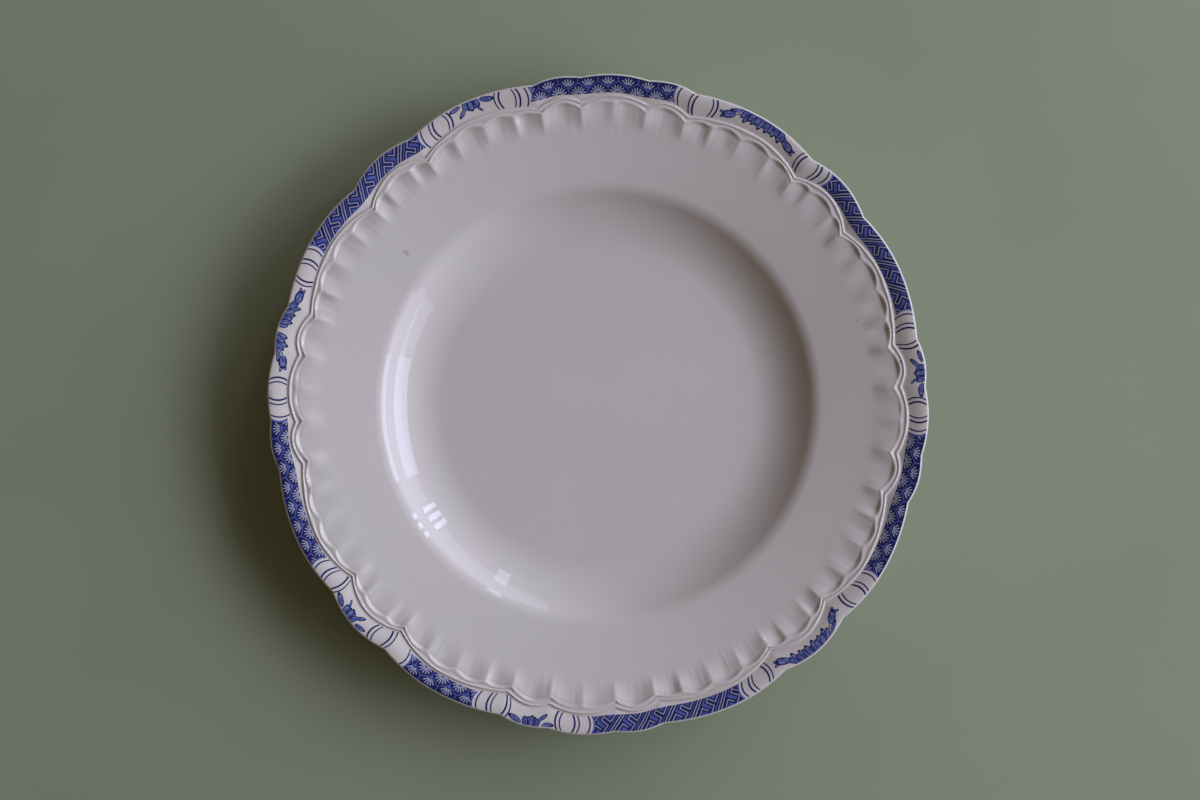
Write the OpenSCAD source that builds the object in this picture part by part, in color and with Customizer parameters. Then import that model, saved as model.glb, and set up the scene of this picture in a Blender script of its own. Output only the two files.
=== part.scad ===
// China dinner plate with a scalloped, fluted and beaded edge and a cobalt printed border.
// Millimetres. +Z is up, the foot ring stands on Z = 0, and the axis of the plate is the Z axis.

/* [Plate] */
// Diameter over the tips of the lobes
plate_d = 256; // [248:1:275]
// Thickness of the clay through the well and the marly
wall = 4.5; // [3.5:0.1:5]
// Diameter of the flat floor of the well
floor_d = 124; // [110:1:130]
// Radius of the hollow curve that rises from the floor
cove_r = 31.5; // [29:0.5:34]
// Radius of the shoulder where the booge turns over into the marly
shoulder_r = 11; // [9:0.5:12]
// Steepest slope of the booge, in degrees
booge_slope = 41; // [38:1:44]
// Slope of the marly, in degrees
marly_slope = 12; // [9:0.5:14]

/* [Foot ring] */
// Height of the foot ring below the floor's underside
foot_h = 3; // [2:0.1:4]
// Radius of the foot's lower corners
foot_round = 0.9; // [0.5:0.1:1.2]

/* [Moulded edge] */
// Diameter at which the flutes fade into the marly
flute_start_d = 212; // [208:1:216]
// Depth of a flute below the marly's line
flute_depth = 0.6; // [0.2:0.05:0.8]
// Height of a pleat between two flutes
pleat_height = 0.8; // [0.3:0.05:1]
// Height of the two beads
bead_height = 0.55; // [0.4:0.05:1]
// Rise of the printed band from the beads to the lip
border_rise = 1.8; // [1:0.1:2.5]
// Thickness of the lip
lip_t = 3.2; // [2.6:0.1:3.6]

/* [Print] */
// Thickness of the printed colour
print_t = 0.12; // [0.08:0.02:0.2]
// Where a panel begins, as a share of the way from the beads to the lip
panel_inside = 0.06; // [0.04:0.01:0.15]
// Clear margin of the print at the lip
outer_margin = 0.9; // [0.7:0.1:2]
// Width of a ring medallion's line, in degrees
ring_line_a = 0.35; // [0.2:0.05:0.5]

/* [Hidden] */
$fn = 180;

china = "#d8d2cb";
bare_clay = "#cdb9a0";
cobalt = "#3d4c98";
wash_blue = "#6676b4";

// ---- The section from the well to the marly ----
floor_r = floor_d / 2;
floor_z = foot_h + wall;
cove_z = floor_z + cove_r;
turn_x = floor_r + (cove_r + shoulder_r) * sin(booge_slope);
turn_z = cove_z - (cove_r + shoulder_r) * cos(booge_slope);

// Points round [x, z] at radius r, from angle a0 to a1, both measured from straight down
function below(x, z, r, a0, a1, steps = 24) =
    [for (n = [0:steps]) let (a = a0 + (a1 - a0) * n / steps) [x + r * sin(a), z - r * cos(a)]];
// The same, measured from straight up and leaning towards the axis
function above(x, z, r, a0, a1, steps = 16) =
    [for (n = [0:steps]) let (a = a0 + (a1 - a0) * n / steps) [x - r * sin(a), z + r * cos(a)]];

cove_face = below(floor_r, cove_z, cove_r, 0, booge_slope);
turn_face = above(turn_x, turn_z, shoulder_r, booge_slope, marly_slope);
cove_back = below(floor_r, cove_z, cove_r + wall, 0, booge_slope);
turn_back = above(turn_x, turn_z, shoulder_r - wall, booge_slope, marly_slope);
marly_in = turn_face[len(turn_face) - 1];
marly_in_back = turn_back[len(turn_back) - 1];
flute_start_r = flute_start_d / 2;

// Height of the marly's line, carried on to any radius
function marly_z(r) = marly_in[0] > r ? marly_in[1] : marly_in[1] + (r - marly_in[0]) * tan(marly_slope);
marly_drop = wall / cos(marly_slope);

// ---- The foot ring stands under the cove ----
foot_in_a = 12;
foot_out_a = 20;
foot_taper = 0.85;
foot_root = below(floor_r, cove_z, cove_r + wall, foot_out_a, foot_in_a, steps = 5);
foot_in_r = foot_root[len(foot_root) - 1][0] + foot_taper;
foot_out_r = foot_root[0][0] - foot_taper;

// ---- The lobes: one eighth of the rim, from a front lobe at 0 to a corner lobe at 45 degrees ----
// Each line swings between low and high points, given as [angle, radius] on a plate of this diameter.
drawn_d = 256;
grow = plate_d / drawn_d;
edge_line = [[0, 128], [6, 126.9], [10, 127.65], [14.6, 126], [27.5, 128], [38.2, 125.8], [45, 128]];
outer_bead = [[0, 119.6], [6.4, 117.1], [9.8, 119.1], [14.5, 116.4], [28, 120], [38, 115.9], [45, 120]];
inner_bead = [
    [0, 117.1], [2, 117.6], [6.3, 114.5], [9.8, 117.8], [14, 114.3], [17.6, 116.6], [19.4, 116], [22.5, 118.1],
    [25.4, 116.6], [28.5, 118.5], [31.8, 116.6], [33.8, 117.3], [38, 114.2], [40.6, 117], [41.9, 116.6], [45, 118.3]
];
lobe_fullness = 0.9;

// Angle from the nearest front lobe, folded into 0 to 45 degrees
function fold(a) = let (q = a - 90 * floor(a / 90)) min(q, 90 - q);
// Where folded angle a falls on a line: [low radius, high radius, sine of the way from low to high]
function stretch(line, a) =
    let (
        i = min(len(line) - 2, max([for (n = [0:len(line) - 1]) if (line[n][0] <= a) n])),
        rising = line[i][1] < line[i + 1][1],
        low = rising ? line[i] : line[i + 1],
        high = rising ? line[i + 1] : line[i]
    )
    [low[1], high[1], sin(90 * abs(a - low[0]) / abs(high[0] - low[0]))];
// Radius of a line at folded angle a: sharp at its low points and round at its high ones
function swing(line, a) = let (s = stretch(line, a)) grow * (s[0] + (s[1] - s[0]) * pow(s[2], lobe_fullness));
// 1 on a pleat, where the inner bead dips towards the centre, and 0 in the middle of a flute
function pleat(a) = pow(1 - stretch(inner_bead, a)[2], 1.5);

// Angles at which the edge is cut into sections: every bead point, and steps between them
edge_step = 1.5;
eighth = [
    for (n = [0:len(inner_bead) - 2])
        let (a = inner_bead[n][0], b = inner_bead[n + 1][0], steps = ceil((b - a) / edge_step))
            for (s = [0:steps - 1]) a + (b - a) * s / steps
];
stations = [
    for (q = [0:3]) each concat(
        [for (a = eighth) q * 90 + a],
        [q * 90 + 45],
        [for (n = [len(eighth) - 1:-1:1]) q * 90 + 90 - eighth[n]]
    )
];

// ---- The section of the moulded edge ----
bead_w = 0.8;
bead_foot_w = 1.1;
groove_share = 0.25;
outer_bead_share = 0.9;
lip_shoulder = 0.3;
lip_under = 1.2;
back_turn_w = 8;
back_taper = 0.85;
lip_z = marly_z(grow * 119.6) + border_rise;
// Height of the face at radius r on the fluted stretch, where f is the share of the way to the bead
function fluted_z(r, a, f) = marly_z(r) + f * f * (3 - 2 * f) * (pleat_height * pleat(a) - flute_depth * (1 - pleat(a)));
// Height of the printed band at share s of the way from the beads to the lip
function border_z(a, s) = let (z0 = marly_z(swing(outer_bead, a))) z0 + (lip_z - z0) * sin(90 * s);
// Radius of the printed band at share s
function border_r(a, s) =
    let (r0 = swing(outer_bead, a) + bead_w, r1 = swing(edge_line, a) - outer_margin) r0 + (r1 - r0) * s;

function edge_section(theta) =
    let (
        a = fold(theta),
        inner = swing(inner_bead, a),
        outer = swing(outer_bead, a),
        lip = swing(edge_line, a),
        start = flute_start_r / cos(edge_step / 2),
        foot = inner - bead_foot_w,
        run = foot - start,
        groove = (inner + outer) / 2,
        back_turn = lip - back_turn_w
    )
    [
        [start, marly_z(start)],
        for (f = [0.3, 0.55, 0.8]) let (r = start + run * f) [r, fluted_z(r, a, f)],
        [foot, fluted_z(foot, a, 1)],
        [inner, marly_z(inner) + bead_height],
        [groove, marly_z(groove) + bead_height * groove_share],
        [outer, marly_z(outer) + bead_height * outer_bead_share],
        for (s = [0, 0.5, 1]) [border_r(a, s), border_z(a, s)],
        [lip - lip_shoulder, lip_z - lip_t / 5],
        [lip, lip_z - lip_t / 2],
        [lip - lip_under, lip_z - lip_t],
        [back_turn, marly_z(back_turn) - marly_drop * back_taper],
        [start, marly_z(start) - marly_drop]
    ];

// A point of a section, turned to its angle
function place(theta, p) = [p[0] * cos(theta), p[0] * sin(theta), p[1]];

// A closed ring through sections of the same number of points
module ring_loft(angles, sections) {
    n = len(sections);
    m = len(sections[0]);
    polyhedron(
        points = [for (i = [0:n - 1]) for (p = sections[i]) place(angles[i], p)],
        faces = [
            for (i = [0:n - 1]) for (j = [0:m - 1])
                let (i2 = (i + 1) % n, j2 = (j + 1) % m)
                    each [[i * m + j, i2 * m + j, i2 * m + j2], [i * m + j, i2 * m + j2, i * m + j2]]
        ],
        convexity = 10
    );
}

// ---- The print: thin patches that lie on the band between the beads and the lip ----
// How far a bowed line leans at share s of the band: all the way at its middle and not at its ends
function bowed(s) = 1 - pow(2 * s - 1, 2);

// A patch from angle a0 to a1 whose inner side lies at share inside of the band. At its two
// ends it is hollowed by bow degrees, and taper says how far its inner side closes on the lip.
module patch(a0, a1, inside, taper = 0, bow = 0) {
    between = [for (s = concat(stations, [for (t = stations) t + 360])) if (s > a0 + 1 && s < a1 - 1) s];
    thin_loft([
        for (t = concat([a0], between, [a1]))
            let (
                u = 2 * (t - a0) / (a1 - a0) - 1,
                inner = 1 - (1 - inside) * (1 - taper * u * u),
                lean = abs(u) < 1 ? 0 : -sign(u) * bow
            )
            [for (s = [inner, (inner + 1) / 2, 1]) [t + lean * bowed(s), s]]
    ]);
}

// One line at angle a, bowed by bow degrees at its middle
module ring_arc(a, bow) {
    thin_loft([
        for (side = [-0.5, 0.5]) [for (s = [0.05:0.19:1]) [a + side * ring_line_a + bow * bowed(s), s]]
    ]);
}

// Rows of [angle, share of the band], given print_t of thickness on top of the band
module thin_loft(rows) {
    n = len(rows);
    m = len(rows[0]);
    skin = [for (row = rows) concat(
        [for (p = row) place(p[0], [border_r(fold(p[0]), p[1]), border_z(fold(p[0]), p[1]) + print_t])],
        [for (j = [m - 1:-1:0]) let (p = row[j]) place(p[0], [border_r(fold(p[0]), p[1]), border_z(fold(p[0]), p[1])])]
    )];
    k = 2 * m;
    last = (n - 1) * k;
    polyhedron(
        points = [for (row = skin) each row],
        faces = [
            for (i = [0:n - 2]) for (j = [0:k - 1])
                let (j2 = (j + 1) % k)
                    each [[i * k + j, (i + 1) * k + j, (i + 1) * k + j2], [i * k + j, (i + 1) * k + j2, i * k + j2]],
            for (j = [0:m - 2]) let (b = k - 1 - j) each [
                [j, j + 1, b - 1], [j, b - 1, b],
                [last + j, last + b - 1, last + j + 1], [last + j, last + b, last + b - 1]
            ]
        ],
        convexity = 4
    );
}

// ---- The clay body ----
module well() {
    color(china) translate([0, 0, foot_h]) cylinder(r = floor_r, h = wall);
}

module booge() {
    color(china) rotate_extrude() polygon(concat(
        cove_face, [for (n = [1:len(turn_face) - 1]) turn_face[n]],
        [for (n = [len(turn_back) - 1:-1:1]) turn_back[n]], [for (n = [len(cove_back) - 1:-1:0]) cove_back[n]]
    ));
}

module marly() {
    color(china) rotate_extrude() polygon([
        marly_in, [flute_start_r, marly_z(flute_start_r)],
        [flute_start_r, marly_z(flute_start_r) - marly_drop], marly_in_back
    ]);
}

module moulded_edge() {
    color(china) ring_loft(stations, [for (t = stations) edge_section(t)]);
}

module foot_ring() {
    color(bare_clay) rotate_extrude() polygon(concat(
        foot_root,
        [for (a = [0:15:90]) [foot_in_r + foot_round * (1 - cos(a)), foot_round * (1 - sin(a))]],
        [for (a = [90:-15:0]) [foot_out_r - foot_round * (1 - cos(a)), foot_round * (1 - sin(a))]]
    ));
}

// ---- The printed border, anticlockwise from +X ----
// Angles at which each fret panel begins and ends
fret_panels = [[19.6, 47.5], [126.7, 154.2], [271.8, 299.7]];
// The same for the fan panels: the third is the short one, where the two ends of the transfer meet
fan_panels = [[78.7, 105.6], [185.5, 212.5], [236.2, 250.4], [331.1, 358]];
chrysanthemums = [[55, 70.5], [161.6, 177.2], [307, 322.7]];
sprigs = [[4.4, 12.8], [111.8, 120], [219, 227.4], [257.1, 265.3]];
// The outermost lines on the two sides of each ring medallion
rings = [
    [0.2, 3.8], [13.6, 17.3], [49.6, 53.6], [71.5, 75.8], [107.7, 111.4], [120.6, 124.2], [156.8, 160.6],
    [178.6, 182.6], [215, 218.4], [228.2, 231.7], [253, 256.4], [265.7, 269.2], [301.8, 305.6], [324.5, 328.4]
];
ring_gap_a = 0.8;
ring_bow = 0.45;
// Gap between the end of a panel and the single line beside it
end_gap_a = 0.65;

module panel(ends) { color(cobalt) patch(ends[0], ends[1], panel_inside, bow = ring_bow); }
module spray(ends) { color(wash_blue) patch(ends[0], ends[1], inside = 0.15, taper = 0.6); }
module sprig(ends) { color(wash_blue) patch(ends[0], ends[1], inside = 0.35, taper = 0.6); }

module ring_medallions() {
    color(cobalt) {
        for (r = rings) {
            ring_arc(r[0], -ring_bow);
            ring_arc(r[0] + ring_gap_a, -ring_bow);
            ring_arc(r[1] - ring_gap_a, ring_bow);
            ring_arc(r[1], ring_bow);
        }
        for (p = concat(fret_panels, fan_panels)) {
            ring_arc(p[0] - end_gap_a, ring_bow);
            ring_arc(p[1] + end_gap_a, -ring_bow);
        }
    }
}

well();
booge();
marly();
moulded_edge();
foot_ring();
panel(fret_panels[0]);  // fret_panel_1
panel(fret_panels[1]);  // fret_panel_2
panel(fret_panels[2]);  // fret_panel_3
panel(fan_panels[0]);  // fan_panel_1
panel(fan_panels[1]);  // fan_panel_2
panel(fan_panels[2]);  // fan_panel_3
panel(fan_panels[3]);  // fan_panel_4
spray(chrysanthemums[0]);  // chrysanthemum_1
spray(chrysanthemums[1]);  // chrysanthemum_2
spray(chrysanthemums[2]);  // chrysanthemum_3
sprig(sprigs[0]);  // sprig_1
sprig(sprigs[1]);  // sprig_2
sprig(sprigs[2]);  // sprig_3
sprig(sprigs[3]);  // sprig_4
ring_medallions();
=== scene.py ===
import math

import bpy
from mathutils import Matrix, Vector


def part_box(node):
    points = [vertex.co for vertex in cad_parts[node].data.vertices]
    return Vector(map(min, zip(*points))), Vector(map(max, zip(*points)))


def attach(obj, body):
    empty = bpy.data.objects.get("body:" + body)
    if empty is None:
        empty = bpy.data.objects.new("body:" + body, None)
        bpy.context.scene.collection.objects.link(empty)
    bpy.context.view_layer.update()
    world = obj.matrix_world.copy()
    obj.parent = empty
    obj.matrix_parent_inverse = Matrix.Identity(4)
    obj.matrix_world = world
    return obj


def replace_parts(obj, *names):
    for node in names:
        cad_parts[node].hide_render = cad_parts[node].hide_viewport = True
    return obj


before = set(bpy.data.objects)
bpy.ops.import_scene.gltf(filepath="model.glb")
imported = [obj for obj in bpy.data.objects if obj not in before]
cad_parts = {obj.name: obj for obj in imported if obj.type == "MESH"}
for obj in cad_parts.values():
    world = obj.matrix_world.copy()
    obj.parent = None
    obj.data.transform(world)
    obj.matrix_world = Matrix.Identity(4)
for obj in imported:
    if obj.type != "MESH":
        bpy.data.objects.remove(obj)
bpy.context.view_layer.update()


# ---- The clay body ----
# One piece of cream-coloured earthenware. A plaster mould on the wheel pressed its face, with the
# flutes, the two beads and the lobes of the edge, and a profile cut its plain back. It was fired,
# printed, dipped in clear glaze and fired again, standing on three pointed stilts.
MM = 0.001
FLOOR_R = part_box("well")[1].x / MM
FLOOR_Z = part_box("well")[1].z / MM
WALL = FLOOR_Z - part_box("well")[0].z / MM
FLUTE_START_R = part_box("marly")[1].x / MM
LIP_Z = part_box("moulded_edge")[1].z / MM
COVE_R = 31.5
SHOULDER_R = 11
BOOGE_SLOPE = math.radians(41)
MARLY_SLOPE = math.radians(12)
COVE_Z = FLOOR_Z + COVE_R
TURN_X = FLOOR_R + (COVE_R + SHOULDER_R) * math.sin(BOOGE_SLOPE)
TURN_Z = COVE_Z - (COVE_R + SHOULDER_R) * math.cos(BOOGE_SLOPE)
MARLY_R = TURN_X - SHOULDER_R * math.sin(MARLY_SLOPE)
MARLY_Z = TURN_Z + SHOULDER_R * math.cos(MARLY_SLOPE)
MARLY_DROP = WALL / math.cos(MARLY_SLOPE)
LIP_T = 3.2

# One eighth of the edge, from a front lobe at 0 to a corner lobe at 45 degrees: [angle, radius]
# where each line turns. A line is sharp at its low points and round at its high ones.
EDGE_LINE = [
    [0, 128], [6, 126.9], [10, 127.65], [14.6, 126], [27.5, 128], [38.2, 125.8], [45, 128]
]
OUTER_BEAD = [
    [0, 119.6], [6.4, 117.1], [9.8, 119.1], [14.5, 116.4], [28, 120], [38, 115.9], [45, 120]
]
INNER_BEAD = [
    [0, 117.1], [2, 117.6], [6.3, 114.5], [9.8, 117.8], [14, 114.3], [17.6, 116.6],
    [19.4, 116], [22.5, 118.1], [25.4, 116.6], [28.5, 118.5], [31.8, 116.6], [33.8, 117.3],
    [38, 114.2], [40.6, 117], [41.9, 116.6], [45, 118.3]
]


def mix(a, b, share):
    return a + (b - a) * share


def ease(share):
    """From 0 to 1 with a level start and end."""
    return (1 - math.cos(math.pi * share)) / 2


def marly_z(r):
    """Height of the marly's line, carried on to any radius."""
    return MARLY_Z + (r - MARLY_R) * math.tan(MARLY_SLOPE)


def stretch(line, angle):
    """Low point, high point and the sine of the way between them, at an angle in degrees."""
    folded = angle % 90
    folded = min(folded, 90 - folded)
    after = next(n for n in range(1, len(line)) if folded <= line[n][0])
    low, high = sorted(line[after - 1:after + 1], key=lambda point: point[1])
    return low[1], high[1], math.sin(math.pi / 2 * abs(folded - low[0]) / abs(high[0] - low[0]))


def swing(line, angle):
    """Radius of a scalloped line at an angle in degrees."""
    low, high, way = stretch(line, angle)
    return mix(low, high, way ** 0.9)


def band_z(angle, share):
    """Height of the printed band at a share of the way from the beads to the lip."""
    start_z = marly_z(swing(OUTER_BEAD, angle))
    return mix(start_z, LIP_Z, math.sin(math.pi / 2 * share))


BEAD_W = 0.8
BEAD_H = 0.48
GROOVE_H = 0.24
LIP_W = 0.9
BACK_OF_LIP_W = 1.3
FLUTE_END_GAP = 1.5
FLUTE_SWELL = -0.45
PLEAT_SWELL = 1.0
LOBE_SWELL = 0.3
LOBE_SPREAD = 12
FLUTE_ROWS = 16
BEAD_ROWS = 5
BAND_ROWS = 11
LIP_ROWS = 7
BACK_ROWS = 6


def edge_section(angle):
    """Radius, height and painted crease shade of each row, from the flutes over the lip to the
    back.
    """
    inner = swing(INNER_BEAD, angle)
    outer = swing(OUTER_BEAD, angle)
    edge = swing(EDGE_LINE, angle)

    # Pleats stand up between the hollows of the flutes, and a front lobe has a soft rise
    low, _, way = stretch(INNER_BEAD, angle)
    pleat = (1 - way) ** 0.8 * min(1, (119.5 - low) / 4.2)
    from_lobe = min(angle % 90, 90 - angle % 90)
    between = mix(LOBE_SWELL, FLUTE_SWELL, min(1, from_lobe / LOBE_SPREAD))
    swelling = mix(between, PLEAT_SWELL, pleat)
    foot_r = inner - FLUTE_END_GAP
    # The third number of each row is painted shade for the glaze colour, darkest at the foot of the
    # beads, in the groove between them and where the band starts
    rows = []
    for n in range(FLUTE_ROWS):
        share = n / FLUTE_ROWS
        r = mix(FLUTE_START_R, foot_r, share)
        rows.append((r, marly_z(r) + ease(share) * swelling, 0.3 * share ** 6))

    groove_r = (inner + outer) / 2
    band_r = outer + BEAD_W
    turns = [
        (foot_r, marly_z(foot_r) + swelling, 1),
        (inner, marly_z(inner) + max(BEAD_H, swelling + 0.05), 0),
        (groove_r, marly_z(groove_r) + GROOVE_H, 1),
        (outer, marly_z(outer) + BEAD_H, 0),
        (band_r, band_z(angle, 0), 0.8)
    ]
    for (r0, z0, shade_from), (r1, z1, shade_to) in zip(turns, turns[1:]):
        for n in range(BEAD_ROWS):
            share = n / BEAD_ROWS
            way = ease(share)
            rows.append((mix(r0, r1, share), mix(z0, z1, way), mix(shade_from, shade_to, way)))

    lip_r = edge - LIP_W
    for n in range(BAND_ROWS):
        share = n / BAND_ROWS
        rows.append((mix(band_r, lip_r, share), band_z(angle, share), max(0, 0.8 - 6 * share)))

    half = LIP_T / 2
    middle_z = LIP_Z - half
    for n in range(LIP_ROWS):
        turn = math.pi / 2 * (1 - n / LIP_ROWS)
        rows.append((lip_r + LIP_W * math.cos(turn), middle_z + half * math.sin(turn), 0))
    back_r = edge - BACK_OF_LIP_W
    for n in range(LIP_ROWS):
        turn = -math.radians(72) * n / (LIP_ROWS - 1)
        rows.append((back_r + BACK_OF_LIP_W * math.cos(turn), middle_z + half * math.sin(turn), 0))

    start_r, start_z = rows[-1][:2]
    end_z = marly_z(FLUTE_START_R) - MARLY_DROP
    for n in range(1, BACK_ROWS + 1):
        share = n / BACK_ROWS
        hollow = 0.1 * math.sin(math.pi * share)
        rows.append((mix(start_r, FLUTE_START_R, share), mix(start_z, end_z, share) + hollow, 0))
    return rows


MERGE = 1e-6


def revolve(name, points, steps):
    """Spins an open outline of [radius, height] points, in millimetres, about the plate's axis."""
    bpy.ops.object.select_all(action="DESELECT")
    bpy.ops.mesh.primitive_circle_add(vertices=len(points), fill_type="NOTHING")
    turned = bpy.context.object
    turned.name = name
    turned.data.name = name
    for vertex, (r, z) in zip(turned.data.vertices, points):
        vertex.co = (r * MM, 0, z * MM)
    last = len(points) - 1
    bpy.ops.object.mode_set(mode="EDIT")
    bpy.ops.mesh.select_mode(type="EDGE")
    bpy.ops.mesh.select_all(action="DESELECT")
    bpy.ops.object.mode_set(mode="OBJECT")
    for edge in turned.data.edges:
        edge.select = set(edge.vertices) == {0, last}
    bpy.ops.object.mode_set(mode="EDIT")
    bpy.ops.mesh.delete(type="EDGE")
    bpy.ops.mesh.select_all(action="SELECT")
    bpy.ops.mesh.spin(steps=steps, angle=2 * math.pi, center=(0, 0, 0), axis=(0, 0, 1))
    bpy.ops.mesh.select_all(action="SELECT")
    bpy.ops.mesh.remove_doubles(threshold=MERGE)
    bpy.ops.object.mode_set(mode="OBJECT")
    return turned


def arc(x, z, r, start, end, steps, side=1):
    """Points round [x, z]: side 1 measures the angle from straight down, -1 from straight up."""
    turns = [mix(start, end, n / steps) for n in range(steps + 1)]
    return [(x + side * r * math.sin(turn), z - side * r * math.cos(turn)) for turn in turns]


JOIN_R = FLUTE_START_R - 2
MARLY_MIDDLE_R = 95
centre = [(0, FLOOR_Z), (30, FLOOR_Z), (54, FLOOR_Z), (60, FLOOR_Z)]
centre += arc(FLOOR_R, COVE_Z, COVE_R, 0, BOOGE_SLOPE, 26)
centre += arc(TURN_X, TURN_Z, SHOULDER_R, BOOGE_SLOPE, MARLY_SLOPE, 16, side=-1)[1:]
centre += [(r, marly_z(r)) for r in (MARLY_MIDDLE_R, JOIN_R)]
back = [(r, marly_z(r) - MARLY_DROP) for r in (JOIN_R, MARLY_MIDDLE_R)]
back += arc(TURN_X, TURN_Z, SHOULDER_R - WALL, MARLY_SLOPE, BOOGE_SLOPE, 8, side=-1)
back += arc(FLOOR_R, COVE_Z, COVE_R + WALL, BOOGE_SLOPE, 0, 16)[1:]
back += [(40, FLOOR_Z - WALL), (0, FLOOR_Z - WALL)]
COLUMNS = 1080
ROWS = len(edge_section(0))

body = revolve("china_body", centre, COLUMNS // 3)
underside = revolve("underside", back, COLUMNS // 3)
edge_ring = revolve("edge_ring", [(FLUTE_START_R + n, 0) for n in range(ROWS)], COLUMNS)

# The mould presses the flat ring: each circle of it is one row of the section
# Each point keeps its row's painted crease shade, read by the glaze material
painted_crease_shade = edge_ring.data.attributes.new("painted_crease_shade", "FLOAT", "POINT")
sections = {}
for n, vertex in enumerate(edge_ring.data.vertices):
    column = round(math.degrees(math.atan2(vertex.co.y, vertex.co.x)) * COLUMNS / 360) % COLUMNS
    row = round(math.hypot(vertex.co.x, vertex.co.y) / MM - FLUTE_START_R)
    angle = column * 360 / COLUMNS
    if column not in sections:
        sections[column] = edge_section(angle)
    r, z, painted_crease_shade.data[n].value = sections[column][row]
    turn = math.radians(angle)
    vertex.co = (r * math.cos(turn) * MM, r * math.sin(turn) * MM, z * MM)

bpy.ops.object.select_all(action="DESELECT")
for part in (body, underside, edge_ring):
    part.select_set(True)
bpy.context.view_layer.objects.active = body
bpy.ops.object.join()
for side in (1, -1):
    seam_z = marly_z(JOIN_R) - (0 if side == 1 else MARLY_DROP)
    bpy.ops.object.mode_set(mode="EDIT")
    bpy.ops.mesh.select_mode(type="EDGE")
    bpy.ops.mesh.select_all(action="DESELECT")
    bpy.ops.mesh.select_non_manifold(extend=False)
    bpy.ops.object.mode_set(mode="OBJECT")
    for edge in body.data.edges:
        middle_z = sum(body.data.vertices[v].co.z for v in edge.vertices) / 2 / MM
        edge.select = edge.select and abs(middle_z - seam_z) < 1
    bpy.ops.object.mode_set(mode="EDIT")
    bpy.ops.mesh.bridge_edge_loops()
    bpy.ops.object.mode_set(mode="OBJECT")
bpy.ops.object.mode_set(mode="EDIT")
bpy.ops.mesh.select_all(action="SELECT")
bpy.ops.mesh.remove_doubles(threshold=MERGE)
bpy.ops.mesh.normals_make_consistent(inside=False)
bpy.ops.object.mode_set(mode="OBJECT")
bpy.ops.object.shade_smooth()


class Shade:
    """A socket of a material. Arithmetic on it adds Math nodes, and node() adds any other node."""

    def __init__(self, tree, socket=None):
        self.tree = tree
        self.socket = socket

    def node(self, kind, settings, inputs, output=0):
        made = self.tree.nodes.new(kind)
        for name, value in settings.items():
            setattr(made, name, value)
        for name, value in inputs.items():
            if isinstance(value, Shade):
                self.tree.links.new(value.socket, made.inputs[name])
            else:
                made.inputs[name].default_value = value
        return Shade(self.tree, made.outputs[output]) if made.outputs else None

    def math(self, operation, *values):
        return self.node("ShaderNodeMath", {"operation": operation}, dict(enumerate(values)))

    def __add__(self, other):
        return self.math("ADD", self, other)

    def __radd__(self, other):
        return self.math("ADD", other, self)

    def __sub__(self, other):
        return self.math("SUBTRACT", self, other)

    def __rsub__(self, other):
        return self.math("SUBTRACT", other, self)

    def __mul__(self, other):
        return self.math("MULTIPLY", self, other)

    def __rmul__(self, other):
        return self.math("MULTIPLY", other, self)

    def __truediv__(self, other):
        return self.math("DIVIDE", self, other)

    def __pow__(self, other):
        return self.math("POWER", self, other)

    def __abs__(self):
        return self.math("ABSOLUTE", self)

    def smaller(self, other):
        return self.math("MINIMUM", self, other)

    def larger(self, other):
        return self.math("MAXIMUM", self, other)

    def fade(self, start, end):
        """0 below start and 1 above end, or the other way round where start is the larger."""
        low, high, first = (start, end, 0) if start < end else (end, start, 1)
        settings = {"interpolation_type": "SMOOTHSTEP"}
        values = {0: self, 1: low, 2: high, 3: first, 4: 1 - first}
        return self.node("ShaderNodeMapRange", settings, values)

    def blend(self, colour, other):
        """colour where this mask is 0 and other where it is 1."""
        colours = [c if isinstance(c, Shade) else (*c, 1) for c in (colour, other)]
        settings = {"data_type": "RGBA"}
        values = {0: self, 6: colours[0], 7: colours[1]}
        return self.node("ShaderNodeMix", settings, values, output=2)

    def cloud(self, place, size, detail=2):
        """Soft noise from about 0.3 to 0.7, with features of a size in millimetres."""
        values = {"Vector": place, "Scale": 1 / (size * MM), "Detail": detail}
        return self.node("ShaderNodeTexNoise", {}, values)


IVORY = (0.835, 0.757, 0.645)
PINK_CLOUD = (0.84, 0.738, 0.638)
GREY_CLOUD = (0.785, 0.722, 0.622)
GLOSS = {
    "Roughness": 0.42, "Specular IOR Level": 0.08,
    "Coat Weight": 1.0, "Coat Roughness": 0.022, "Coat IOR": 1.4
}


def new_material(name):
    made = bpy.data.materials.new(name)
    made.use_nodes = True
    made.node_tree.nodes.clear()
    return made, Shade(made.node_tree)


def glaze_colour(shade, place):
    """The ivory of clay under clear glaze, with the faint pink and grey clouds of the firing."""
    clouds = shade.cloud(place, 38).fade(0.38, 0.66)
    warm = clouds.blend(IVORY, PINK_CLOUD)
    greyer = shade.cloud(place, 9, detail=4).fade(0.5, 0.75) * 0.35
    return greyer.blend(warm, GREY_CLOUD)


def bumped(shade, height):
    """A normal for a height in metres."""
    values = {"Strength": 1.0, "Distance": 1.0, "Height": height}
    return shade.node("ShaderNodeBump", {}, values)


def glaze_surface(shade, colour, place, relief=0):
    """A clear glossy glaze over a colour, with the slight waves that it sets in and any relief."""
    broad = shade.cloud(place, 14, detail=1) * (0.05 * MM)
    fine = shade.cloud(place, 3, detail=1) * (0.006 * MM)
    values = {"Base Color": colour, "Normal": bumped(shade, broad + fine + relief), **GLOSS}
    return shade.node("ShaderNodeBsdfPrincipled", {}, values)


def surface(shade, shader):
    shade.node("ShaderNodeOutputMaterial", {}, {"Surface": shader})


def dress(piece, material):
    piece.data.materials.clear()
    piece.data.materials.append(material)


def object_place(shade):
    return shade.node("ShaderNodeTexCoord", {}, {}, output=3)


# The first two browns are painted shade, in the creases and along the flutes
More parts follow.
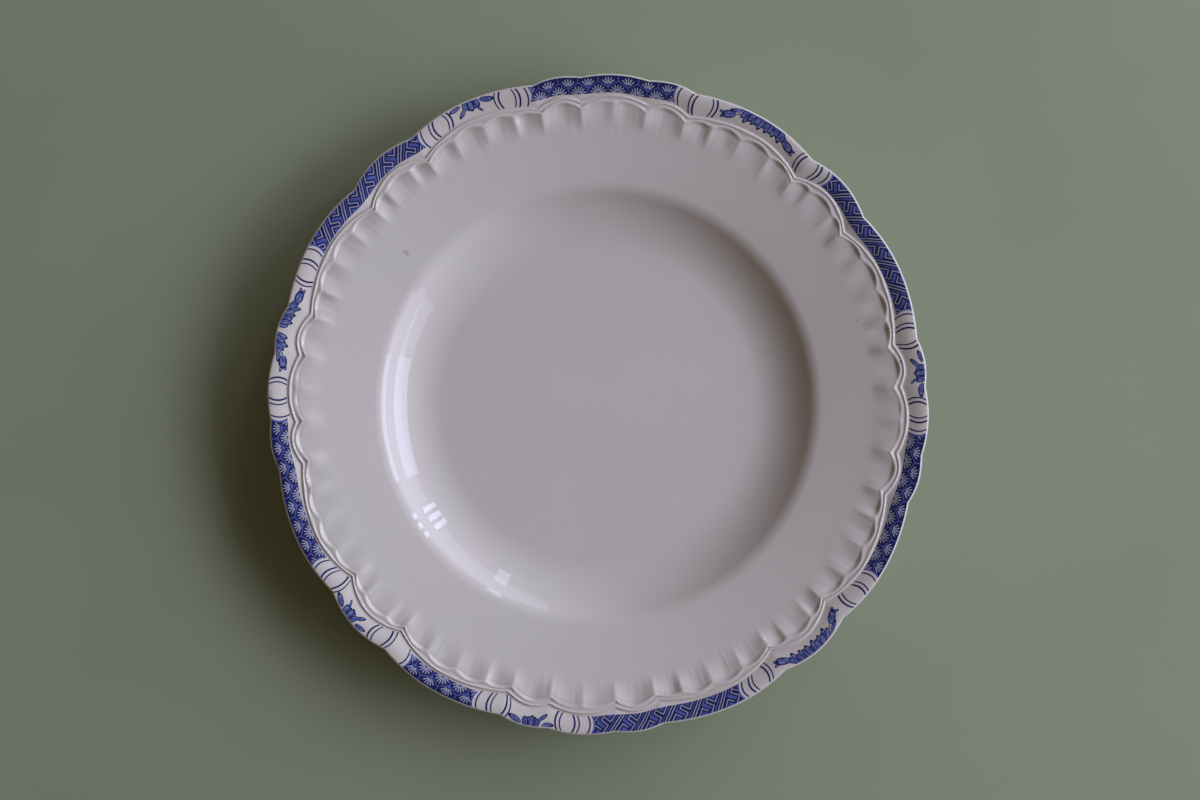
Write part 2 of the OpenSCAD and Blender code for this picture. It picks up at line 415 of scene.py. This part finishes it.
CREASE_SHADE_BROWN = (0.50, 0.40, 0.31)
FLUTE_SHADE_BROWN = (0.56, 0.45, 0.35)
IRON_BLACK = (0.16, 0.10, 0.07)
PIN_BROWN = (0.42, 0.29, 0.20)
STILT_BROWN = (0.40, 0.30, 0.22)
WORN_CLAY = (0.46, 0.33, 0.22)
STRAY_BLUE = (0.10, 0.12, 0.38)

glazed_clay, shade = new_material("glazed_clay")
place = object_place(shade)
colour = glaze_colour(shade, place)
# Painted shade, brown, in the creases at the foot of the beads, in their groove and where the band
# starts
crease_shade = shade.node("ShaderNodeAttribute", {"attribute_name": "painted_crease_shade"}, {}, output=2)
patchy = shade.cloud(place, 11).fade(0.35, 0.65) * 0.5 + 0.5
colour = (crease_shade * patchy * 0.24).blend(colour, CREASE_SHADE_BROWN)

# Fine uneven ripples that run out along the flutes, where the worn mould pressed them, and brown
# painted shade in streaks along them
RIPPLE_H = 0.19 * MM
x, y, z = (shade.node("ShaderNodeSeparateXYZ", {}, {0: place}, output=n) for n in range(3))
r = (x * x + y * y) ** 0.5
unrolled = {0: y.math("ARCTAN2", y, x) * 0.115, 1: r * 0.09}
streaks = shade.cloud(shade.node("ShaderNodeCombineXYZ", {}, unrolled), 2.4, detail=3)
r_mm = r / MM
above_line = z / MM - MARLY_Z - (r_mm - MARLY_R) * math.tan(MARLY_SLOPE)
face = above_line.fade(-2.6, -1.6)
fluted = r_mm.fade(101, 112) * r_mm.fade(118, 115) * face
flute_shade = streaks.fade(0.5, 0.68) * fluted
colour = (flute_shade * 0.14).blend(colour, FLUTE_SHADE_BROWN)

# Iron specks in the clay, rare and small
cells = {"Vector": place, "Scale": 1 / (9 * MM), "Randomness": 1.0}
distance = shade.node("ShaderNodeTexVoronoi", {}, cells)
draw = shade.node("ShaderNodeTexVoronoi", {}, cells, output=1)
chance = shade.node("ShaderNodeSeparateColor", {}, {0: draw}).fade(0.90, 0.92)
speck = distance.fade(0.035, 0.015) * chance
colour = (speck * 0.75).blend(colour, IRON_BLACK)


def mark(shade, place, angle, r, size):
    """A mask round a point of the plate seen from above, ragged at its rim."""
    turn = math.radians(angle)
    ends = {
        0: shade.node("ShaderNodeVectorMath", {"operation": "MULTIPLY"}, {0: place, 1: (1, 1, 0)}),
        1: (r * math.cos(turn) * MM, r * math.sin(turn) * MM, 0)
    }
    away = shade.node("ShaderNodeVectorMath", {"operation": "DISTANCE"}, ends, output=1)
    ragged = away / MM + shade.cloud(place, 1.2) * size
    return ragged.fade(size * 1.35, size * 0.85)


# The pin mark, where the stilt of the plate above touched the glaze, and the three of its own
# stilt on the back
pin = mark(shade, place, 145, 95.2, 1.9) - mark(shade, place, 145.3, 95.5, 1.2) * 0.8
colour = (pin * face * 0.5).blend(colour, PIN_BROWN)
for angle in (25, 146, 264):
    stilt = mark(shade, place, angle, 97, 1.1) * (1 - face)
    colour = (stilt * 0.8).blend(colour, STILT_BROWN)

# Lip worn to the clay in places, and blue that strayed from the print
for angle, size in [(273, 7), (182, 6), (96, 5)]:
    rubbed = r_mm.fade(124.8, 126.4) * shade.cloud(place, 1.5).fade(0.45, 0.6)
    worn = mark(shade, place, angle, 128, size) * rubbed * face
    colour = (worn * 0.5).blend(colour, WORN_CLAY)
for angle, at, size in [
    (0.5, 117.7, 0.45), (11, 118.2, 0.75), (233, 117.4, 0.4), (234.4, 118.3, 0.3), (190, 118.9, 0.5)
]:
    spot = mark(shade, place, angle, at, size) * face
    colour = (spot * 0.65).blend(colour, STRAY_BLUE)
surface(shade, glaze_surface(shade, colour, place, streaks * fluted * RIPPLE_H))
dress(body, glazed_clay)
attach(body, "root")
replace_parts(body, "well", "booge", "marly", "moulded_edge")


# ---- The foot ring ----
# A low ring turned in the same clay. Its flanks are glazed, and the narrow face that it stands on
# was wiped clean before the firing, so bare buff clay shows there, darkened by use.
FOOT_IN = math.radians(12)
FOOT_OUT = math.radians(20)
FOOT_ROUND = 0.9
FOOT_TAPER = 0.85
FOOT_SINK = 0.35
FOOT_STEPS = 6
GRIT_H = 0.12 * MM
BUFF = (0.60, 0.50, 0.39)
USED_BUFF = (0.30, 0.23, 0.17)
root_r = COVE_R + WALL - FOOT_SINK
foot_in_r = FLOOR_R + root_r * math.sin(FOOT_IN) + FOOT_TAPER
foot_out_r = FLOOR_R + root_r * math.sin(FOOT_OUT) - FOOT_TAPER
foot = arc(FLOOR_R, COVE_Z, root_r, FOOT_OUT, FOOT_IN, 5)
for n in range(FOOT_STEPS + 1):
    turn = math.pi / 2 * n / FOOT_STEPS
    foot.append((foot_in_r + FOOT_ROUND * (1 - math.cos(turn)), FOOT_ROUND * (1 - math.sin(turn))))
for n in range(FOOT_STEPS + 1):
    turn = math.pi / 2 * (1 - n / FOOT_STEPS)
    foot.append((foot_out_r - FOOT_ROUND * (1 - math.cos(turn)), FOOT_ROUND * (1 - math.sin(turn))))
foot_ring = revolve("turned_foot", foot + foot[:1], 240)
bpy.ops.object.mode_set(mode="EDIT")
bpy.ops.mesh.select_all(action="SELECT")
bpy.ops.mesh.remove_doubles(threshold=MERGE)
bpy.ops.mesh.normals_make_consistent(inside=False)
bpy.ops.object.mode_set(mode="OBJECT")
bpy.ops.object.shade_smooth_by_angle(angle=math.radians(40))

foot_clay, shade = new_material("foot_clay")
place = object_place(shade)
height = shade.node("ShaderNodeSeparateXYZ", {}, {0: place}, output=2)
glaze = glaze_surface(shade, glaze_colour(shade, place), place)
grit = bumped(shade, shade.cloud(place, 0.8, detail=5) * GRIT_H)
used = shade.cloud(place, 6, detail=3).fade(0.42, 0.62)
buff = (used * 0.7).blend(BUFF, USED_BUFF)
values = {"Base Color": buff, "Roughness": 0.85, "Normal": grit}
bare = shade.node("ShaderNodeBsdfPrincipled", {}, values)
wiped = (height / MM + shade.cloud(place, 2.5) * 0.35).fade(0.55, 0.42)
surface(shade, shade.node("ShaderNodeMixShader", {}, {0: wiped, 1: glaze, 2: bare}))
dress(foot_ring, foot_clay)
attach(foot_ring, "root")
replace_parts(foot_ring, "foot_ring")


# ---- The printed panels ----
# Tissue printed from an engraved copper plate in cobalt, cut into strips and rubbed down on the
# fired clay between the beads and the lip. Three strips have a key fret and four a net of fans.
COBALT = (0.018, 0.021, 0.10)
MID_BLUE = (0.085, 0.115, 0.40)
BLED_BLUE = (0.13, 0.165, 0.47)
WHITE_LINE = (0.50, 0.49, 0.60)
PRINT_T = 0.12
PRINT_LIFT = 0.06
PITCH_R = 123.5
RING_BOW = 0.45
FRET_PANELS = [(19.6, 47.5), (126.7, 154.2), (271.8, 299.7)]
FAN_PANELS = [(78.7, 105.6), (185.5, 212.5), (236.2, 250.4), (331.1, 358)]


def bowed(share):
    """How far a bowed line leans: all the way at its middle and not at its ends."""
    return 1 - (2 * share - 1) ** 2


def panel_inside(angle):
    """Inner side of a panel, which follows the outer bead by half."""
    near = [swing(OUTER_BEAD, angle + turn) for turn in (-2, -1, 0, 1, 2)]
    return 120.8 + 0.5 * (sum(near) / len(near) - 119.4)


def on_band(angle, r, lift):
    """A point of the printed band, lifted off the glaze by a few hundredths of a millimetre."""
    start_r = swing(OUTER_BEAD, angle) + BEAD_W
    end_r = swing(EDGE_LINE, angle) - LIP_W
    share = max(0, min(1, (r - start_r) / (end_r - start_r)))
    turn = math.radians(angle)
    return Vector((r * math.cos(turn), r * math.sin(turn), band_z(angle, share) + lift)) * MM


def sheet(name, columns, rows, shape):
    """A grid whose points shape(u, v) puts in place: it gives their angle, radius and lift."""
    bpy.ops.object.select_all(action="DESELECT")
    bpy.ops.mesh.primitive_grid_add(x_subdivisions=columns, y_subdivisions=rows, size=1)
    made = bpy.context.object
    made.name = name
    made.data.name = name
    shares = [(vertex.co.x + 0.5, vertex.co.y + 0.5) for vertex in made.data.vertices]
    places = [shape(u, v) for u, v in shares]
    for vertex, (angle, r, lift) in zip(made.data.vertices, places):
        vertex.co = on_band(angle, r, lift)
    made.data.update()
    if sum(face.normal.z for face in made.data.polygons) < 0:
        made.data.flip_normals()
    return made, shares, places


def thicken(piece):
    """Gives a sheet the thickness of the print, downwards, so that half of it is in the glaze."""
    wall = piece.modifiers.new("print", "SOLIDIFY")
    wall.thickness = PRINT_T * MM
    wall.offset = -1
    bpy.ops.object.modifier_apply(modifier=wall.name)
    bpy.ops.object.shade_smooth_by_angle(angle=math.radians(40))


def print_panel(name, ends, material):
    """A strip between two bowed ends, with a map in millimetres and its distance from them."""
    a0, a1 = ends
    length = math.radians(a1 - a0) * PITCH_R

    def shape(u, v):
        angle = mix(a0, a1, u)
        near_end = max(0, 1 - min(u, 1 - u) * (a1 - a0) / 2.5)
        angle -= math.copysign(RING_BOW, u - 0.5) * near_end * bowed(v)
        r = mix(panel_inside(angle), swing(EDGE_LINE, angle) - LIP_W, v)
        return angle, r, PRINT_LIFT

    panel, shares, places = sheet(name, round((a1 - a0) * 3), 10, shape)
    panel.data.uv_layers[0].name = "print"
    from_end = panel.data.attributes.new("from_end", "FLOAT", "POINT")
    for n, (u, v) in enumerate(shares):
        from_end.data[n].value = min(u, 1 - u) * length
    map_mm = panel.data.uv_layers["print"].data
    for loop in panel.data.loops:
        angle, r, _ = places[loop.vertex_index]
        map_mm[loop.index].uv = (math.radians(angle - a0) * PITCH_R, r - panel_inside(angle))
    thicken(panel)
    dress(panel, material)
    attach(panel, "root")
    return panel


def print_map(shade):
    """Millimetres along a panel and out from its inner side, or shares of a stroke's two ways."""
    uv = shade.node("ShaderNodeUVMap", {"uv_map": "print"}, {})
    along = shade.node("ShaderNodeSeparateXYZ", {}, {0: uv}, output=0)
    across = shade.node("ShaderNodeSeparateXYZ", {}, {0: uv}, output=1)
    return along, across


def ink(shade, place, full):
    """Cobalt that bled a little into the glaze: full is 1 where solid and 0 in fine lines."""
    uneven = shade.cloud(place, 5, detail=3).fade(0.35, 0.7)
    return full.blend(uneven.blend(MID_BLUE, BLED_BLUE), COBALT)


def panel_surface(name, pattern):
    """A panel's material: pattern gives a mask of its white lines and one of its solid colour."""
    made, shade = new_material(name)
    place = object_place(shade)
    along, across = print_map(shade)
    wobble = shade.cloud(place, 1.6) * 0.25 - 0.125
    white, dark = pattern(shade, along + wobble, across + wobble)
    end = shade.node("ShaderNodeAttribute", {"attribute_name": "from_end"}, {}, output=2)
    framed = end.fade(0.85, 0.65)
    edging = end.fade(1.75, 1.5) * end.fade(0.85, 1.05)
    colour = ink(shade, place, (dark * (1 - framed)).larger(edging))
    colour = (white * (1 - framed)).blend(colour, WHITE_LINE)
    surface(shade, glaze_surface(shade, colour, place))
    return made


FRET_TILT = math.radians(52)
FRET_CELL = 8.19
FRET_STEP = 6.41
FRET_START = 1.45
FRET_ARMS = [(0.2, 3.0, 6.2), (1.7, 3.0, 6.3), (-2.5, 2.4, 4.6)]


def fret(shade, along, across):
    """A key fret on the slant: two long lines side by side, then hooked arms between them."""
    along = along - FRET_START
    up = along * math.sin(FRET_TILT) + across * math.cos(FRET_TILT)
    down = along * math.cos(FRET_TILT) - across * math.sin(FRET_TILT)
    cell = (up / FRET_CELL).math("FLOOR", up / FRET_CELL)
    e = up - cell * FRET_CELL
    d = down - cell * FRET_STEP
    lines = [abs(e), abs(e - FRET_CELL), abs(e - 1)]
    for level, start, end in FRET_ARMS:
        lines.append(abs(d - level).larger(abs(e - (start + end) / 2) - (end - start) / 2))
    lines.append(abs(e - 3.0).larger(abs(d - 0.95) - 0.75))
    lines.append(abs(e - 6.2).larger(d - 0.2))
    lines.append(abs(e - 6.3).larger(1.7 - d))
    lines.append(abs(e - 2.4).larger(d + 2.5))
    nearest = lines[0]
    for line in lines[1:]:
        nearest = nearest.smaller(line)
    return nearest.fade(0.24, 0.1), nearest.fade(0.95, 0.6)


FAN_PITCH = 7.7
FAN_LOW = 1.9
FAN_HIGH = 4.1
FAN_STROKE_TURN = math.radians(23)


def fans(shade, along, across):
    """A net of pointed scales, each with a small fan of strokes spread from its foot."""
    half = FAN_PITCH / 2
    lap = along / FAN_PITCH
    from_peak = (lap - lap.math("ROUND", lap)) * FAN_PITCH
    from_low = half - abs(from_peak)
    roof = FAN_HIGH - abs(from_peak) * ((FAN_HIGH - FAN_LOW) / half)
    net = abs(across - roof) * 0.87
    net = net.smaller(from_low.larger(across - FAN_LOW))
    net = net.smaller(abs(from_peak).larger(FAN_HIGH - across))
    below = (roof - across).fade(-0.05, 0.05)
    sideways = below * abs(from_peak) + (1 - below) * from_low
    above_foot = below * (across + 0.3) + (1 - below) * (across - FAN_LOW - 0.55)
    reach = (sideways * sideways + above_foot * above_foot) ** 0.5
    spread = sideways.math("ARCTAN2", sideways, above_foot)
    turns = spread / FAN_STROKE_TURN
    spoke = abs(turns - turns.math("ROUND", turns)) * FAN_STROKE_TURN * reach
    in_reach = reach.fade(0.75, 1.0) * reach.fade(3.3, 3.0)
    stroke = spoke.fade(0.27, 0.14) * in_reach * net.fade(0.42, 0.6)
    boss = reach.fade(0.6, 0.45)
    lattice = net.fade(0.25, 0.14)
    return stroke, (1 - lattice) * (1 - boss)


fret_ink = panel_surface("fret_ink", fret)
fan_ink = panel_surface("fan_ink", fans)
for n, ends in enumerate(FRET_PANELS, 1):
    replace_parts(print_panel(f"fret_strip_{n}", ends, fret_ink), f"fret_panel_{n}")
for n, ends in enumerate(FAN_PANELS, 1):
    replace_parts(print_panel(f"fan_strip_{n}", ends, fan_ink), f"fan_panel_{n}")


# ---- The flower prints ----
# Smaller cuttings of the same tissue: three chrysanthemums that hang from the lip between two
# buds, and four sprigs with a bloom and leaves. Each is a wash of blue with darker edges.
CHRYSANTHEMUMS = [54.9, 161.5, 306.9]
SPRIGS = [4.2, 111.7, 218.8, 256.7]
PALE_WASH = (0.30, 0.34, 0.60)
DEEP_WASH = (0.12, 0.155, 0.42)
LAYER_STEP = 0.016


def petal(start, end, width, sharp, layer, bend=0, root=0):
    """One stroke of wash from start to end, each [degrees, millimetres in from the lip]. Its tip
    is pointed, and so is its start unless root gives a share of the width there."""
    mid_angle = (start[0] + end[0]) / 2
    per_degree = math.radians(1) * PITCH_R
    run = Vector(((end[0] - start[0]) * per_degree, end[1] - start[1]))
    across = Vector((-run.y, run.x)).normalized()
    origin = Vector(((start[0] - mid_angle) * per_degree, start[1]))

    def shape(u, v):
        open_share = max(0, 1 - (2 * v - 1) ** 2)
        half = width / 2 * (mix(root, 1, open_share) if v < 0.5 else open_share) ** sharp
        point = origin + run * v + across * (half * (2 * u - 1) + bend * bowed(v))
        angle = mid_angle + point.x / per_degree
        edge = swing(EDGE_LINE, angle)
        inset = max(point.y, LIP_W + 0.3 * v)
        return angle, edge - inset, PRINT_LIFT - LAYER_STEP * (layer % 4)

    made, _, _ = sheet("petal", 6, 12, shape)
    return made


def join_strokes(name, strokes, material):
    """Joins the strokes of a cutting into one piece with the thickness of the print."""
    bpy.ops.object.select_all(action="DESELECT")
    for stroke in strokes:
        stroke.select_set(True)
    bpy.context.view_layer.objects.active = strokes[0]
    bpy.ops.object.join()
    cutting = bpy.context.object
    cutting.name = name
    cutting.data.name = name
    cutting.data.uv_layers[0].name = "print"
    thicken(cutting)
    dress(cutting, material)
    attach(cutting, "root")
    return cutting


wash, shade = new_material("blue_wash")
place = object_place(shade)
side, tip = print_map(shade)
rim = abs(side - 0.5).fade(0.25, 0.36).larger(tip.fade(0.74, 0.84))
vein = abs(side - 0.5).fade(0.1, 0.04) * tip.fade(0.9, 0.3) * 0.8
pale = shade.cloud(place, 1.6, detail=3).fade(0.4, 0.65).blend(DEEP_WASH, PALE_WASH)
colour = rim.larger(vein).blend(pale, COBALT)
surface(shade, glaze_surface(shade, colour, place))

for n, a in enumerate(CHRYSANTHEMUMS, 1):
    strokes = []
    for k in range(13):
        tip_a = a + 3.0 + 0.73 * k
        if n == 2 and k in (7, 8):
            continue
        depth = 4.4 + 1.0 * (k % 2) + 0.3 * math.sin(1.9 * k)
        root_a = mix(a + 7.3, tip_a, 0.78)
        strokes.append(petal((root_a, LIP_W), (tip_a, depth), 2.2, 0.7, 2 * k + k // 2, root=0.8))
    strokes.append(petal((a + 4.6, 1.2), (a + 2.3, 3.2), 1.7, 0.5, 3))
    strokes.append(petal((a + 11.4, 1.0), (a + 14.0, 2.6), 1.6, 0.6, 3, bend=0.3))
    for nose, tail, prongs in [
        ((a + 3.1, 3.4), (a + 0.5, 4.6), [(a, 3.8), (a + 0.2, 5.5)]),
        ((a + 12.6, 3.7), (a + 15.1, 5.2), [(a + 15.7, 4.1), (a + 15.3, 6.3)])
    ]:
        strokes.append(petal(nose, tail, 3.1, 0.5, 1))
        for prong in prongs:
            root = (mix(nose[0], tail[0], 0.6), mix(nose[1], tail[1], 0.8))
            strokes.append(petal(root, prong, 1.3, 0.5, 2))
        stalk = (a + 4.2, 2.4) if nose[0] < a + 7 else (a + 11.6, 2.6)
        strokes.append(petal(stalk, nose, 0.5, 0.3, 0))
    spray = join_strokes(f"chrysanthemum_cutting_{n}", strokes, wash)
    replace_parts(spray, f"chrysanthemum_{n}")

for n, a in enumerate(SPRIGS, 1):
    strokes = [
        petal((a + 2.7, 1.5), (a, 2.6), 2.2, 0.6, 0, bend=-0.2),
        petal((a + 3.4, LIP_W), (a + 3.1, 4.2), 2.3, 0.4, 1, root=0.6),
        petal((a + 5.3, LIP_W), (a + 5.6, 3.9), 2.2, 0.4, 1, root=0.6),
        petal((a + 3.9, LIP_W), (a + 3.8, 4.4), 2.0, 0.4, 3, root=0.6),
        petal((a + 4.8, LIP_W), (a + 4.9, 4.5), 2.0, 0.4, 3, root=0.6),
        petal((a + 4.4, LIP_W), (a + 4.4, 5.0), 2.1, 0.4, 2, root=0.6),
        petal((a + 5.4, 2.9), (a + 7.1, 5.7), 1.6, 0.55, 0),
        petal((a + 6.2, 1.5), (a + 8.5, 2.1), 1.8, 0.6, 3)
    ]
    if n < 4:
        strokes.append(petal((a + 3.5, 3.9), (a + 2.6, 6.0), 1.0, 0.55, 0))
    sprig = join_strokes(f"sprig_cutting_{n}", strokes, wash)
    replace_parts(sprig, f"sprig_{n}")


# ---- The ring medallions ----
# Pairs of drawn lines, bowed like brackets, that close each cutting off from the next. In a pair
# the first line is heavier. A single line also stands at each end of every panel.
RINGS = [
    (0.2, 3.8), (13.6, 17.3), (49.6, 53.6), (71.5, 75.8), (107.7, 111.4), (120.6, 124.2),
    (156.8, 160.6), (178.6, 182.6), (215, 218.4), (228.2, 231.7), (253, 256.4), (265.7, 269.2),
    (301.8, 305.6), (324.5, 328.4)
]
RING_GAP = 0.8
END_GAP = 0.65
HEAVY_LINE_W = 0.7
LIGHT_LINE_W = 0.5
END_LINE_W = 0.55


def ring_line(angle, bow, width):
    """One drawn line across the band, leaning by its bow, in degrees, at its middle."""
    def shape(u, v):
        at = angle + bow * bowed(v) + (u - 0.5) * math.degrees(width / PITCH_R)
        start_r = swing(OUTER_BEAD, at) + BEAD_W
        end_r = swing(EDGE_LINE, at) - LIP_W
        return at, mix(start_r, end_r, mix(0.05, 1, v)), PRINT_LIFT

    made, _, _ = sheet("ring_line", 2, 12, shape)
    return made


lines = []
for a0, a1 in RINGS:
    for angle, bow, width in [
        (a0, -RING_BOW, HEAVY_LINE_W), (a0 + RING_GAP, -RING_BOW, LIGHT_LINE_W),
        (a1 - RING_GAP, RING_BOW, HEAVY_LINE_W), (a1, RING_BOW, LIGHT_LINE_W)
    ]:
        lines.append(ring_line(angle, bow, width))
for a0, a1 in FRET_PANELS + FAN_PANELS:
    lines.append(ring_line(a0 - END_GAP, RING_BOW, END_LINE_W))
    lines.append(ring_line(a1 + END_GAP, -RING_BOW, END_LINE_W))

ring_ink, shade = new_material("ring_ink")
place = object_place(shade)
side, _ = print_map(shade)
soft = abs(side - 0.5).fade(0.5, 0.25) * 0.5 + 0.5
surface(shade, glaze_surface(shade, ink(shade, place, soft), place))
ring_lines = join_strokes("ring_lines", lines, ring_ink)
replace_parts(ring_lines, "ring_medallions")


# ---- The studio ----
# A pale matt floor and a dim warm surround. Daylight comes from the right: a tall window with a
# bright and a dim part, three narrow panes, a far one and a wide low glow. The camera is straight
# above the plate.
SAGE = (0.365, 0.405, 0.24)
PALE_SAGE = (0.388, 0.43, 0.256)

bpy.ops.object.select_all(action="DESELECT")
bpy.ops.mesh.primitive_plane_add(size=6, location=(0, 0, 0))
floor = bpy.context.object
floor.name = "floor"
floor_paint, shade = new_material("floor_paint")
place = object_place(shade)
tone = shade.cloud(place, 120, detail=3).fade(0.3, 0.7).blend(SAGE, PALE_SAGE)
paint = shade.node("ShaderNodeBsdfPrincipled", {}, {"Base Color": tone, "Roughness": 0.8})
surface(shade, paint)
floor.data.materials.append(floor_paint)

DAYLIGHT = (0.665, 0.73, 1.0)
WARM_ROOM = (0.085, 0.066, 0.048, 1)
WINDOW_AWAY = 1.6
GLOW_AWAY = 2.2


def soft_panel(name, azimuth, low, high, spread, radiance, away=WINDOW_AWAY):
    """A panel of light that fills a range of azimuth and height, in degrees from the plate."""
    bottom, top = (away * math.tan(math.radians(tilt)) for tilt in (low, high))
    width = 2 * away * math.tan(math.radians(spread / 2))
    turn = math.radians(azimuth)
    outward = Vector((math.cos(turn), math.sin(turn), 0))
    middle = outward * away + Vector((0, 0, (bottom + top) / 2))
    bpy.ops.object.light_add(type="AREA", location=middle)
    lamp = bpy.context.object
    lamp.name = name
    lamp.rotation_euler = outward.to_track_quat("Z", "Y").to_euler()
    lamp.data.shape = "RECTANGLE"
    lamp.data.size = width
    lamp.data.size_y = top - bottom
    lamp.data.energy = radiance * math.pi * width * (top - bottom)
    lamp.data.color = DAYLIGHT


SILL = 27
HEAD = 47
soft_panel("panel_wide", 6.5, SILL, HEAD, 35, 6.2)
soft_panel("panel_dim", -20, SILL, HEAD, 17, 2.6)
for n, azimuth in enumerate((34.3, 37.2, 40.1), 1):
    soft_panel(f"pane_{n}", azimuth, SILL, HEAD, 1.6, 11)
soft_panel("panel_far", 64, SILL, HEAD, 4, 5.5)
soft_panel("panel_glow", 24, 5, 40, 110, 2.25, away=GLOW_AWAY)

surround = bpy.data.worlds.new("surround")
bpy.context.scene.world = surround
surround.use_nodes = True
background = surround.node_tree.nodes["Background"]
background.inputs["Color"].default_value = WARM_ROOM
background.inputs["Strength"].default_value = 1

CAMERA_UP = 0.643
CAMERA_RIGHT = 0.73 * MM
CAMERA_FORWARD = 1.68 * MM
CAMERA_ROLL = math.radians(3)
bpy.ops.object.camera_add(rotation=(0, 0, CAMERA_ROLL))
camera = bpy.context.object
right = Vector((math.cos(CAMERA_ROLL), math.sin(CAMERA_ROLL), 0))
up = Vector((-math.sin(CAMERA_ROLL), math.cos(CAMERA_ROLL), 0))
above = Vector((0, 0, LIP_Z * MM + CAMERA_UP))
camera.location = right * CAMERA_RIGHT + up * CAMERA_FORWARD + above
camera.data.lens = 50
camera.data.sensor_width = 36
bpy.context.scene.camera = camera
bpy.context.scene.view_settings.view_transform = "Standard"
